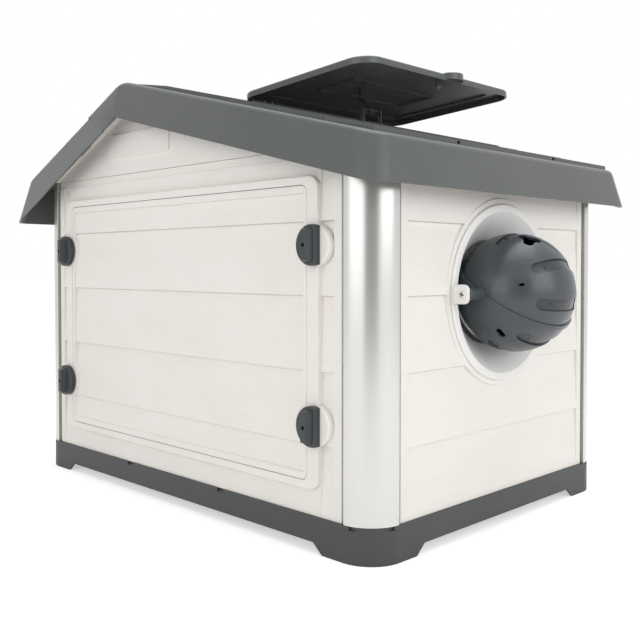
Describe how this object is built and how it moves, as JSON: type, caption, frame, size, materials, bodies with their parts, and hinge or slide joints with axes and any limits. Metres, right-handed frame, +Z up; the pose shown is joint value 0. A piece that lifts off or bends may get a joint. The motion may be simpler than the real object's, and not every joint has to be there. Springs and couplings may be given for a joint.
{
  "type": "dog house",
  "caption": "Lap-board plastic dog house on a ground tray, with a hinged roof hatch, a lift-off front panel held by turn buttons, and a spinning treat ball in one wall.",
  "frame": {"origin": "middle of the footprint on the ground", "axes": "+X to the right along the front, +Y from the front to the back, +Z up"},
  "size_m": [1.1893, 0.795, 0.8128],
  "materials": {
    "wall_white": "off-white moulded plastic with embossed wood grain",
    "liner_white": "smooth off-white plastic sheet",
    "post_silver": "silver-grey plastic with a satin metallic sheen",
    "roof_grey": "mid grey plastic with a fine pebbled texture",
    "tray_grey": "dark grey plastic, fine texture",
    "floor_grey": "grey ribbed plastic floor",
    "button_grey": "dark grey satin plastic",
    "feeder_white": "smooth white plastic",
    "ball_slate": "dark slate plastic, semi-gloss",
    "screw_steel": "zinc plated steel"
  },
  "bodies": {
    "house": {"base_tray": "tray_grey", "floor_panel": "floor_grey", "front_wall": "wall_white", "rear_wall": "wall_white", "right_wall": "wall_white", "left_wall": "wall_white", "front_gable": "wall_white", "rear_gable": "wall_white", "post_rear_right": "post_silver", "post_rear_left": "post_silver", "post_front_right": "post_silver", "post_front_left": "post_silver", "roof_right": "roof_grey", "roof_left": "roof_grey", "roof_screws": "screw_steel", "hatch_hinge_pins": "screw_steel", "button_pins": "screw_steel", "feeder_ring": "feeder_white", "feeder_bracket_front": "feeder_white", "feeder_bracket_rear": "feeder_white", "axle_screws": "screw_steel"},
    "door": {"door_panel": "wall_white", "door_liner": "liner_white"},
    "button_lower_left": {"turn_button_lower_left": "button_grey"},
    "button_upper_left": {"turn_button_upper_left": "button_grey"},
    "button_lower_right": {"turn_button_lower_right": "button_grey"},
    "button_upper_right": {"turn_button_upper_right": "button_grey"},
    "lid": {"hatch_lid": "roof_grey", "stay_pin": "screw_steel"},
    "stay_link": {"stay_link": "button_grey"},
    "stay_fork": {"stay_fork": "button_grey"},
    "ball": {"ball_upper_shell": "ball_slate", "ball_lower_shell": "ball_slate"}
  },
  "joints": [
    {"name": "panel_lift_off", "type": "slide", "parent": "house", "child": "door", "axis": [0, -1, 0], "range_m": [0, 0.25]},
    {"name": "lower_left_button", "type": "hinge", "parent": "house", "child": "button_lower_left", "pos_m": [-0.384, -0.3555, 0.2032], "axis": [0, 1, 0], "range_deg": [-90, 90]},
    {"name": "upper_left_button", "type": "hinge", "parent": "house", "child": "button_upper_left", "pos_m": [-0.384, -0.3555, 0.4867], "axis": [0, 1, 0], "range_deg": [-90, 90]},
    {"name": "lower_right_button", "type": "hinge", "parent": "house", "child": "button_lower_right", "pos_m": [0.384, -0.3555, 0.2032], "axis": [0, 1, 0], "range_deg": [-90, 90]},
    {"name": "upper_right_button", "type": "hinge", "parent": "house", "child": "button_upper_right", "pos_m": [0.384, -0.3555, 0.4867], "axis": [0, 1, 0], "range_deg": [-90, 90]},
    {"name": "hatch_hinge", "type": "hinge", "parent": "house", "child": "lid", "pos_m": [0.04989, 0, 0.77769], "axis": [0, -1, 0], "range_deg": [-18.5, 71.5]},
    {"name": "stay_swing", "type": "hinge", "parent": "lid", "child": "stay_link", "pos_m": [0.19959, -0.05, 0.78715], "axis": [0, -1, 0], "range_deg": [-25, 38]},
    {"name": "fork_swing", "type": "hinge", "parent": "stay_link", "child": "stay_fork", "pos_m": [0.23397, -0.05, 0.75509], "axis": [0, -1, 0], "range_deg": [-60, 60]},
    {"name": "ball_spin", "type": "hinge", "parent": "house", "child": "ball", "pos_m": [0.524, 0, 0.408], "axis": [0, 1, 0], "continuous": true}
  ]
}
